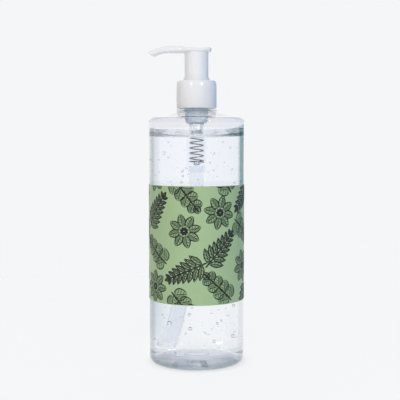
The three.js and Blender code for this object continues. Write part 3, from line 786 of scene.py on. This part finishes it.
housingSize = {"wall": 0.75, "flange": 1.2, "flangeEdge": 0.2, "pocketOuter": 9.3, "pocketDepth": 14.8,
               "pocketFoot": (0.5, 0.4), "cupStep": 0.55, "cupTaper": 1.3, "cupDepth": 11.2,
               "cupTop": (0.8, 0.6), "cupRound": (2.6, 1.8), "bore": 4.3, "boreEdge": 0.3, "neckIn": 1.2,
               "foot": 5.1, "footEdge": 0.4, "footStep": 0.6, "socket": 4.0, "socketDepth": 4.2,
               "socketEdge": 0.3, "inlet": 1.2, "inletLength": 0.5, "cone": 2.6, "springGap": 0.07,
               "cupEnd": 0.2, "segments": 64}
housingLow, housingHigh = nodeSpan("pump_housing")
springLow, springHigh = nodeSpan("return_spring")
flangeTop = housingHigh[2]
pocketFloor = flangeTop - housingSize["pocketDepth"]
cupFloor = pocketFloor - housingSize["cupDepth"]
housingFoot = housingLow[2]
springLedge = springLow[2] - housingSize["springGap"]


def makeHousing():
    # flanged cup, cylinder, valve cone and tube socket in one turned wall; what stands in the gel
    # has its own finish, because gel takes the glare off the plastic
    s = housingSize
    wall, cylinder = s["wall"], s["bore"] + s["wall"]
    flange, flangeBottom, cupBottom = housingHigh[0], flangeTop - s["flange"], cupFloor - wall
    socketTop = housingFoot + s["socketDepth"]
    pocket, pocketInner = s["pocketOuter"], s["pocketOuter"] - wall
    cup, cupInner = pocket - s["cupStep"], pocket - s["cupStep"] - wall
    profile = roundedProfile([
        # outside, from the foot up to the flange
        (s["foot"], housingFoot, s["footEdge"]), (s["foot"], socketTop, s["footStep"]),
        (cylinder, springLedge, s["footStep"]), (cylinder, gelLevel), (cylinder, cupBottom, s["neckIn"]),
        (cup - s["cupTaper"], cupBottom, s["cupRound"][0]), (cup, pocketFloor - wall, s["cupTop"][0]),
        (pocket, pocketFloor, s["pocketFoot"][0]), (pocket, flangeBottom),
        (flange, flangeBottom, s["flangeEdge"]), (flange, flangeTop, s["flangeEdge"]),
        # inside, from the pocket down to the socket
        (pocketInner, flangeTop, s["flangeEdge"]), (pocketInner, pocketFloor + wall, s["pocketFoot"][1]),
        (cupInner, pocketFloor, s["cupTop"][1]), (cupInner - s["cupTaper"], cupFloor, s["cupRound"][1]),
        (s["bore"], cupFloor, s["boreEdge"]), (s["bore"], gelLevel), (s["bore"], springLedge),
        (s["cone"], springLedge), (s["inlet"], socketTop + s["inletLength"]), (s["inlet"], socketTop),
        (s["socket"], socketTop), (s["socket"], housingFoot, s["socketEdge"])])

    def finish(middles):
        # 0 in the neck, 1 the cup, 2 the cylinder above the gel, 3 in the gel
        height = middles[:, 2]
        return (height < neckRoot).astype(int) + (height < cupBottom + s["cupEnd"]) + (height < gelLevel)

    return makePiece("housing", [(*turned(profile, s["segments"], True), finish)],
                     [naturalNeckLightened, naturalDry, naturalThin, naturalWet])


dress(makeHousing(), "pump_body", "natural_pp", "pump_housing")

guideSize = {"bore": 3.25, "sleeve": 4.0, "flange": 1.2, "edge": 0.2, "flangeEdge": 0.3, "corner": 0.4,
             "segments": 48}
guideLow, guideHigh = nodeSpan("stem_guide")


def makeGuide():
    # turned sleeve on a flange
    s = guideSize
    bottom, top, flangeTop = guideLow[2], guideHigh[2], guideLow[2] + s["flange"]
    profile = roundedProfile([
        (s["bore"], bottom, s["edge"]), (guideHigh[0], bottom, s["edge"]),
        (guideHigh[0], flangeTop, s["flangeEdge"]), (s["sleeve"], flangeTop, s["corner"]),
        (s["sleeve"], top, s["edge"]), (s["bore"], top, s["edge"])])
    return makePiece("guide", [(*turned(profile, s["segments"], True), 0)], [whitePlastic])


dress(makeGuide(), "pump_body", "white_pp", "stem_guide")

stemSize = {"bore": 1.7, "edge": 0.2, "segments": 48}
stemLow, stemHigh = nodeSpan("stem")


def makeStem():
    # straight turned tube
    s = stemSize
    profile = roundedProfile([
        (s["bore"], stemLow[2], s["edge"]), (stemHigh[0], stemLow[2], s["edge"]),
        (stemHigh[0], stemHigh[2], s["edge"]), (s["bore"], stemHigh[2], s["edge"])])
    return makePiece("pump_stem", [(*turned(profile, s["segments"], True), 0)], [whitePlastic])


dress(makeStem(), "head", "white_pp", "stem")

pistonSize = {"inner": 3.15, "lip": 0.35, "lipEdge": 0.1, "waist": 0.8, "segments": 48}
pistonLow, pistonHigh = nodeSpan("piston")


def makePiston():
    # turned sleeve with a sealing lip at each end
    s = pistonSize
    bottom, top, radius = pistonLow[2], pistonHigh[2], pistonHigh[0]
    lip, waist = (top - bottom) / 4, radius - s["lip"]
    profile = roundedProfile([
        (s["inner"], bottom), (radius, bottom, s["lipEdge"]), (waist, bottom + lip, s["waist"]),
        (waist, top - lip, s["waist"]), (radius, top, s["lipEdge"]), (s["inner"], top)])
    return makePiece("pump_piston", [(*turned(profile, s["segments"], True), 0)], [naturalThin])


dress(makePiston(), "plunger", "natural_pp", "piston")

seatSize = {"plug": 1.55, "plugEnd": 0.5, "flange": 0.8, "edge": 0.2, "segments": 48}
seatLow, seatHigh = nodeSpan("piston_seat")


def makeSeat():
    # turned plug on a flange
    s = seatSize
    bottom, top, flangeTop = seatLow[2], seatHigh[2], seatLow[2] + s["flange"]
    profile = roundedProfile([
        (0, bottom), (seatHigh[0], bottom, s["edge"]), (seatHigh[0], flangeTop, s["edge"]),
        (s["plug"], flangeTop, s["edge"]), (s["plug"], top, s["plugEnd"]), (0, top)])
    return makePiece("seat", [(*turned(profile, s["segments"]), 0)], [whitePlastic])


dress(makeSeat(), "head", "white_pp", "piston_seat")

springSize = {"wire": 0.8, "turns": 7, "closed": 0.864, "steps": 44, "sides": 12, "stroke": 14}


def makeSpring():
    # helix with one closed turn at each end: angle = 2 pi turn, height = closed pitch in the end turns
    # and the open pitch between them
    s = springSize
    turn = np.linspace(0, s["turns"], s["turns"] * s["steps"])
    loose = np.clip(turn - 1, 0, s["turns"] - 2)
    length = springHigh[2] - springLow[2] - s["wire"]
    pitch = (length - 2 * s["closed"]) / (s["turns"] - 2)
    height = springLow[2] + s["wire"] / 2 + s["closed"] * (turn - loose) + pitch * loose
    mean = springHigh[0] - s["wire"] / 2
    angle = fullTurn * turn
    path = np.stack([mean * np.cos(angle), mean * np.sin(angle), height], -1)
    tangent = np.gradient(path, axis=0)
    outward = np.stack([np.cos(angle), np.sin(angle), 0 * angle], -1)
    # the first and last rings have no radius, which closes the wire's ends
    repeat = np.r_[0, np.arange(len(turn)), len(turn) - 1]
    radius = np.r_[0, np.full(len(turn), s["wire"] / 2), 0]
    wire = sweptTube(path[repeat], tangent[repeat], outward[repeat], radius, s["sides"])
    return makePiece("spring", [(*wire, 0)], [springSteel])


spring = dress(makeSpring(), "pump_body", "spring_steel", "return_spring")
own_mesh(spring)

ballSize = {"rows": 25, "segments": 40}
ballLow, ballHigh = nodeSpan("inlet_ball")


def makeBall():
    # sphere turned from a half circle of points
    s = ballSize
    radius, middle = (ballHigh[2] - ballLow[2]) / 2, (ballHigh[2] + ballLow[2]) / 2
    angle = np.linspace(-math.pi / 2, math.pi / 2, s["rows"])
    profile = np.stack([radius * np.cos(angle), middle + radius * np.sin(angle)], -1)
    profile[[0, -1], 0] = 0
    return makePiece("valve_ball", [(*turned(profile, s["segments"]), 0)], [ballSteel])


dress(makeBall(), "pump_body", "spring_steel", "inlet_ball")

tubeSize = {"wall": 0.8, "radius": 3.9, "inset": 12.4, "bearing": 130, "gap": 2.4, "straight": 0.4,
            "bendAside": 0.72, "bendBack": -0.05, "bendRise": 0.2, "steps": 90, "sides": 36}
tubeHigh = nodeSpan("dip_tube")[1]


def makeTube():
    # round tube along a cubic curve: straight out of its socket, then bent to the back left
    s = tubeSize
    reach, bearing = innerRadius - s["inset"], math.radians(s["bearing"])
    end = np.array([reach * math.cos(bearing), reach * math.sin(bearing),
                    bottleSize["punt"] + bottleSize["floor"] + s["gap"]])
    top = np.array([0, 0, tubeHigh[2]])
    fall = top[2] - end[2]
    down = np.array([0, 0, top[2] - s["straight"] * fall])
    bend = np.array([s["bendAside"] * end[0], s["bendBack"] * end[1], end[2] + s["bendRise"] * fall])
    t = np.linspace(0, 1, s["steps"])[:, None]
    path = (1 - t) ** 3 * top + 3 * t * (1 - t) ** 2 * down + 3 * t ** 2 * (1 - t) * bend + t ** 3 * end
    tangent = np.gradient(path, axis=0)
    # down along the outer wall and back up along the bore
    order = np.r_[np.arange(s["steps"]), np.arange(s["steps"])[::-1]]
    radius = np.r_[np.full(s["steps"], s["radius"]), np.full(s["steps"], s["radius"] - s["wall"])]
    reference = np.tile([1.0, 0, 0], (2 * s["steps"], 1))
    points, quads = sweptTube(path[order], tangent[order], reference, radius, s["sides"], True)
    return makePiece("tube", [(points, quads, 0)], [tubePlastic])


dress(makeTube(), "pump_body", "tube_pe", "dip_tube")


# Head: pad, spout and skirt moulded in one

headSize = {"skirt": 8.25, "skirtWall": 0.85, "skirtHeight": 21.4, "ceiling": 1.5, "bossWall": 1.2,
            "boss": 13, "socket": 3.1, "pad": 3.3, "overhang": 0.75, "lipReach": 2.15, "lipRise": 0.6,
            "reach": 33.7, "spoutHeight": 4.95, "spoutWidth": 10.4, "tipWidth": 7.6, "droop": 2.7,
            "tipSlant": 4.6, "tipHeight": 3.4, "bore": 1.5, "mouth": 1.95, "roundness": 2 / 3, "rows": 110,
            "sides": 56, "segments": 96, "boreRows": 80, "boreSides": 40, "voxel": 0.3, "smooth": 5}
headLow = nodeSpan("actuator")[0]
padBottom = headLow[2] + headSize["skirtHeight"]


def headSections():
    # from the thumb lip to the tip: top x and z, bottom x and z, half width
    s = headSize
    lip, half = s["skirt"] + s["lipReach"], s["skirt"] + s["overhang"]
    root = s["skirt"] + s["spoutWidth"] / 4
    padTop, spoutTop = padBottom + s["pad"], padBottom + s["spoutHeight"]
    tipTop = padBottom - s["droop"] + s["tipHeight"]
    hump, run = root + (s["reach"] - root) / 4, root + (s["reach"] - root) / 2
    foot, fall = s["reach"] - s["tipSlant"], (spoutTop - tipTop) / 2
    return np.array([
        # thumb lip: its edge and its crest
        (lip, padTop, lip - 0.2, padBottom + 2 * s["lipRise"], 0.36 * half),
        (lip - 1.3, padTop + s["lipRise"], lip - 1.5, padBottom + s["lipRise"], 0.7 * half),
        # pad: hollow, middle and rise to the spout
        (s["skirt"] / 2, padTop + s["lipRise"] / 4, s["skirt"] / 2, padBottom, 0.95 * half),
        (0, padTop, 0, padBottom, half),
        (-s["skirt"] * 0.66, padTop + s["lipRise"], -s["skirt"] * 0.66, padBottom, 0.92 * half),
        # spout: root, hump, run, droop and slanted tip
        (-root, spoutTop - s["lipRise"] / 2, -root, padBottom - 0.1, 0.6 * s["spoutWidth"]),
        (-hump, spoutTop, -hump, padBottom - 0.2, s["spoutWidth"] / 2),
        (-run, spoutTop - 0.2 * fall, -run + 0.7, padBottom - 0.2,
         0.2 * s["spoutWidth"] + 0.3 * s["tipWidth"]),
        (-foot, tipTop + 0.85 * fall, 3.2 - foot, padBottom - 0.4 * s["droop"], 0.54 * s["tipWidth"]),
        (-s["reach"], tipTop, -foot, padBottom - s["droop"], s["tipWidth"] / 2)])


def splineThrough(knots, steps):
    # smooth curve through the knots, evenly in knot number: a cubic between two knots, whose slope at a
    # knot is half the way from the knot before it to the knot after it
    place = np.linspace(0, len(knots) - 1, steps)
    number = np.minimum(place.astype(int), len(knots) - 2)
    w = (place - number)[:, None]
    before, start = knots[np.maximum(number - 1, 0)], knots[number]
    end, after = knots[number + 1], knots[np.minimum(number + 2, len(knots) - 1)]
    rise, leave = (end - before) / 2, (after - start) / 2
    cubic, square = 2 * start - 2 * end + rise + leave, -3 * start + 3 * end - 2 * rise - leave
    return cubic * w ** 3 + square * w ** 2 + rise * w + start


def headLoft():
    # rounded sections between a top and a bottom curve: middle + half height * sin ^ 2/3, and
    # width * cos ^ 2/3 to the sides; both ends close on their middles
    s = headSize
    rows = splineThrough(headSections(), s["rows"])
    angle = np.linspace(0, fullTurn, s["sides"], endpoint=False)

    def rounded(value):
        return np.sign(value) * np.abs(value) ** s["roundness"]

    upper, lower, half = rows[:, None, :2], rows[:, None, 2:4], rows[:, 4, None]
    spot = (upper + lower) / 2 + (upper - lower) / 2 * rounded(np.sin(angle))[None, :, None]
    points = np.stack([spot[..., 0], half * rounded(np.cos(angle)), spot[..., 1]], -1)
    ends = points[[0, -1]].mean(1, keepdims=True) + 0 * points[[0, -1]]
    points = np.concatenate([ends[:1], points, ends[1:]])
    return points, gridQuads(len(points), s["sides"], False, True)[:, ::-1]


def headSkirt():
    # hollow skirt with the stem's boss inside
    s = headSize
    roof, bottom, top = padBottom - s["ceiling"], headLow[2], padBottom + s["pad"] / 2
    boss, inside = s["socket"] + s["bossWall"], s["skirt"] - s["skirtWall"]
    profile = roundedProfile([
        (0, roof), (s["socket"], roof), (s["socket"], roof - s["boss"]), (boss, roof - s["boss"]),
        (boss, roof), (inside, roof), (inside, bottom), (s["skirt"], bottom), (s["skirt"], top), (0, top)], 2)
    return turned(profile, s["segments"])


def headPassage():
    # bore from the stem through the pad and spout, wider at the slanted mouth, past which it runs on
    s, rows = headSize, headSections()

    def middle(section, share):
        return rows[section, 2:4] * (1 - share) + rows[section, :2] * share

    mouth, bend = middle(-1, 0.5), middle(-2, 0.5)
    knots = np.array([(0, padBottom - s["ceiling"] - s["bore"]), (0, padBottom - s["bore"] / 2),
                      (-s["bore"], padBottom + s["pad"] / 3), middle(4, 0.4), middle(6, 0.5),
                      middle(7, 0.5), bend, mouth, mouth + 0.7 * (mouth - bend)])
    flat = splineThrough(knots, s["boreRows"])
    path = np.stack([flat[:, 0], 0 * flat[:, 0], flat[:, 1]], -1)
    tangent = np.gradient(path, axis=0)
    widening = np.clip(np.linspace(-5.5, 1.4, s["boreRows"]), 0, 1)
    radius = np.r_[0, s["bore"] + (s["mouth"] - s["bore"]) * widening, 0]
    repeat = np.r_[0, np.arange(s["boreRows"]), s["boreRows"] - 1]
    reference = np.tile([0, 1.0, 0], (len(repeat), 1))
    return sweptTube(path[repeat], tangent[repeat], reference, radius, s["boreSides"])


def makeHead():
    # loft and skirt joined, bore cut, then one even skin over both, which rounds the inner corners
    # as a moulding has them
    s = headSize
    shapes = (headLoft(), headSkirt(), headPassage())
    forms = [makePiece("head_part", [(*shape, 0)], [whitePlastic]) for shape in shapes]
    body = forms[0]
    for other, action in ((forms[1], "UNION"), (forms[2], "DIFFERENCE")):
        step = body.modifiers.new("join", "BOOLEAN")
        step.object, step.operation, step.solver = other, action, "EXACT"
    skin = body.modifiers.new("skin", "REMESH")
    skin.mode, skin.voxel_size, skin.use_smooth_shade = "VOXEL", s["voxel"] * mm, True
    soften = body.modifiers.new("soften", "SMOOTH")
    soften.factor, soften.iterations = 0.5, s["smooth"]
    bpy.context.view_layer.update()
    mesh = bpy.data.meshes.new_from_object(body.evaluated_get(bpy.context.evaluated_depsgraph_get()))
    for form in forms:
        bpy.data.objects.remove(form)
    mesh.name = "pump_head"
    mesh.materials.clear()
    mesh.materials.append(whitePlastic)
    head = bpy.data.objects.new("pump_head", mesh)
    bpy.context.scene.collection.objects.link(head)
    return head


dress(makeHead(), "head", "white_pp", "actuator")


# Floor, light and camera

studio = {"floor": "#F6F7F8", "white": "#FDFEFF", "whiteStrength": 0.93, "floorGlow": 0.96,
          "floorSize": 4000, "floorPoints": 9, "floorDrop": 0.1, "fadeFrom": 250, "fadeTo": 900,
          "shadowFrom": 26, "shadowTo": 38, "shadowShare": 0.3, "openShare": 0.88, "sidesFrom": 50,
          "sidesTo": 75, "roomStrength": 1.0, "bentStrength": 1.03, "ceiling": "#C6C9D3",
          "ceilingFrom": 0.04, "ceilingTo": 0.5, "bounces": 32}
# colours by the bearing from the bottle: 0 is in front, 0.25 left, 0.5 behind and 0.75 right; the floor's
# grey patches are painted shade
paintedFloorShade = [(0, "#FDFEFF"), (0.2, "#FDFEFF"), (0.24, "#98A6A8"), (0.31, "#98A6A8"), (0.34, "#FDFEFF"),
              (0.5, "#FDFEFF"), (0.56, "#DFE8F0"), (0.62, "#A6B7C4"), (0.76, "#8C9FAC"), (0.82, "#FDFEFF"),
              (1, "#FDFEFF")]
roomPanels = [(0, "#F0F2F6"), (0.385, "#F2F4F7"), (0.5, "#F4F6FA"), (0.58, "#F2F4F8"), (0.592, "#DCE4E8"),
              (0.64, "#CDD7DA"), (0.648, "#F2F4F7"), (1, "#F0F2F6")]
# colours of the room's light from left to right
roomSides = [(0, "#A9A8AA"), (0.2, "#D2D1D3"), (0.42, "#FFFEFC"), (0.6, "#FBFAF9"), (0.7, "#A6BFD6"),
             (0.85, "#5A88B4"), (1, "#4272A0")]
# power and place of each lamp
lampSpec = {"colour": "#FFFAF4", "size": 130, "aim": (0, 0, 120),
            "key": (2.2, (510, -860, 480)), "fill": (1.2, (-515, -857, 480))}
cameraSpec = {"place": (2.4, -606, 154.4), "tiltDegrees": 3.9, "lens": 78.2, "sensor": 36}


def byBearing(tree, place, stops):
    # a colour for each bearing, the arc tangent of x and y
    split = addNode(tree, "ShaderNodeSeparateXYZ", {0: place})
    bearing = addNode(tree, "ShaderNodeMath", {0: split.outputs["X"], 1: split.outputs["Y"]},
                      operation="ARCTAN2")
    share = addNode(tree, "ShaderNodeMapRange", {"Value": bearing.outputs[0], "From Min": -math.pi,
                                                 "From Max": math.pi})
    return addNode(tree, "ShaderNodeValToRGB", {"Fac": share.outputs[0]}, stops).outputs[0]


def floorMaterial():
    # matte pale floor: seen by the camera and through glass it is near white, but it keeps a soft shadow;
    # what the clear walls bend into view has painted shade, grey at the left and blue-grey at the right, seen
    # only through the walls
    s = studio
    material, tree = startMaterial("pale floor")
    matte = addNode(tree, "ShaderNodeBsdfDiffuse", {"Color": linear(s["floor"])})
    place = addNode(tree, "ShaderNodeTexCoord").outputs["Object"]
    distance = addNode(tree, "ShaderNodeVectorMath", {0: place}, operation="LENGTH").outputs["Value"]
    ray = addNode(tree, "ShaderNodeLightPath").outputs
    far = addNode(tree, "ShaderNodeMapRange", {"Value": distance, "From Min": s["sidesFrom"] * mm,
                                               "From Max": s["sidesTo"] * mm})
    bent = addNode(tree, "ShaderNodeMath", {0: far.outputs[0], 1: ray["Is Transmission Ray"]},
                   operation="MULTIPLY")
    tone = addNode(tree, "ShaderNodeMix", {"Factor": bent.outputs[0], "A": linear(s["white"]),
                                           "B": byBearing(tree, place, paintedFloorShade)}, data_type="RGBA")
    glow = addNode(tree, "ShaderNodeEmission", {"Color": tone.outputs["Result"], "Strength": s["floorGlow"]})
    clear = addNode(tree, "ShaderNodeMath", {0: ray["Is Camera Ray"], 1: ray["Is Transmission Ray"]},
                    operation="MAXIMUM")
    seen = addNode(tree, "ShaderNodeMath", {0: clear.outputs[0], 1: ray["Is Glossy Ray"]},
                   operation="MAXIMUM")
    under = addNode(tree, "ShaderNodeMapRange", {
        "Value": distance, "From Min": s["shadowFrom"] * mm, "From Max": s["shadowTo"] * mm,
        "To Min": s["shadowShare"], "To Max": s["openShare"]})
    share = addNode(tree, "ShaderNodeMath", {0: seen.outputs[0], 1: under.outputs[0]}, operation="MULTIPLY")
    mix = addNode(tree, "ShaderNodeMixShader", {0: share.outputs[0], 1: matte.outputs[0], 2: glow.outputs[0]})
    fade = addNode(tree, "ShaderNodeMapRange", {"Value": distance, "From Min": s["fadeFrom"] * mm,
                                                "From Max": s["fadeTo"] * mm})
    gone = addNode(tree, "ShaderNodeBsdfTransparent")
    whole = addNode(tree, "ShaderNodeMixShader", {0: fade.outputs[0], 1: mix.outputs[0], 2: gone.outputs[0]})
    addNode(tree, "ShaderNodeOutputMaterial", {"Surface": whole.outputs[0]})
    return material


def makeFloor():
    # flat square grid just under the bottle
    count, half = studio["floorPoints"], studio["floorSize"] / 2
    x, y = np.meshgrid(np.linspace(-half, half, count), np.linspace(-half, half, count))
    points = np.stack([x, y, 0 * x - studio["floorDrop"]], -1)
    return makePiece("floor", [(points, gridQuads(count, count), 0)], [floorMaterial()])


def makeWorld():
    # soft room: white behind and in front, greyer to the left and a cool blue-grey to the right; what
    # the clear walls bend into view is near white, with a pale grey panel behind to the right and a
    # greyer ceiling
    s = studio
    world = bpy.data.worlds.new("soft studio")
    bpy.context.scene.world = world
    world.use_nodes = True
    tree = world.node_tree
    tree.nodes.clear()
    direction = addNode(tree, "ShaderNodeTexCoord").outputs["Generated"]
    split = addNode(tree, "ShaderNodeSeparateXYZ", {0: direction})
    side = addNode(tree, "ShaderNodeMapRange", {"Value": split.outputs["X"], "From Min": -1, "From Max": 1})
    room = addNode(tree, "ShaderNodeValToRGB", {"Fac": side.outputs[0]}, roomSides)
    lit = addNode(tree, "ShaderNodeBackground", {"Color": room.outputs[0], "Strength": s["roomStrength"]})
    upward = addNode(tree, "ShaderNodeMapRange", {"Value": split.outputs["Z"], "From Min": s["ceilingFrom"],
                                                  "From Max": s["ceilingTo"]})
    ceiling = addNode(tree, "ShaderNodeMix", {
        "Factor": upward.outputs[0], "A": byBearing(tree, direction, roomPanels), "B": linear(s["ceiling"])},
        data_type="RGBA")
    bent = addNode(tree, "ShaderNodeBackground", {"Color": ceiling.outputs["Result"],
                                                  "Strength": s["bentStrength"]})
    plain = addNode(tree, "ShaderNodeBackground", {"Color": linear(s["white"]),
                                                   "Strength": s["whiteStrength"]})
    ray = addNode(tree, "ShaderNodeLightPath").outputs
    inner = addNode(tree, "ShaderNodeMixShader", {0: ray["Is Transmission Ray"], 1: lit.outputs[0],
                                                  2: bent.outputs[0]})
    mix = addNode(tree, "ShaderNodeMixShader", {0: ray["Is Camera Ray"], 1: inner.outputs[0],
                                                2: plain.outputs[0]})
    addNode(tree, "ShaderNodeOutputWorld", {"Surface": mix.outputs[0]})


def addLamp(name, power, place):
    # square soft lamp that faces the middle of the bottle
    lamp = bpy.data.lights.new(name, "AREA")
    lamp.energy, lamp.size = power, lampSpec["size"] * mm
    lamp.color = linear(lampSpec["colour"])[:3]
    holder = bpy.data.objects.new(name, lamp)
    bpy.context.scene.collection.objects.link(holder)
    ahead = np.array(lampSpec["aim"]) - np.array(place)
    drop = math.atan2(-ahead[2], math.hypot(ahead[0], ahead[1]))
    holder.location = [v * mm for v in place]
    holder.rotation_euler = (math.pi / 2 - drop, 0, math.atan2(ahead[1], ahead[0]) - math.pi / 2)


def addCamera():
    # level across and tilted down a little, at the photograph's height
    camera = bpy.data.cameras.new("camera")
    holder = bpy.data.objects.new("camera", camera)
    bpy.context.scene.collection.objects.link(holder)
    camera.lens, camera.sensor_width = cameraSpec["lens"], cameraSpec["sensor"]
    holder.location = [v * mm for v in cameraSpec["place"]]
    holder.rotation_euler = (math.radians(90 - cameraSpec["tiltDegrees"]), 0, 0)
    bpy.context.scene.camera = holder


makeFloor()
makeWorld()
addLamp("key lamp", *lampSpec["key"])
addLamp("fill lamp", *lampSpec["fill"])
addCamera()

scene = bpy.context.scene
scene.view_settings.view_transform = "Standard"
for limit in ("max_bounces", "glossy_bounces", "transmission_bounces", "transparent_max_bounces"):
    setattr(scene.cycles, limit, studio["bounces"])

print("scene ready")
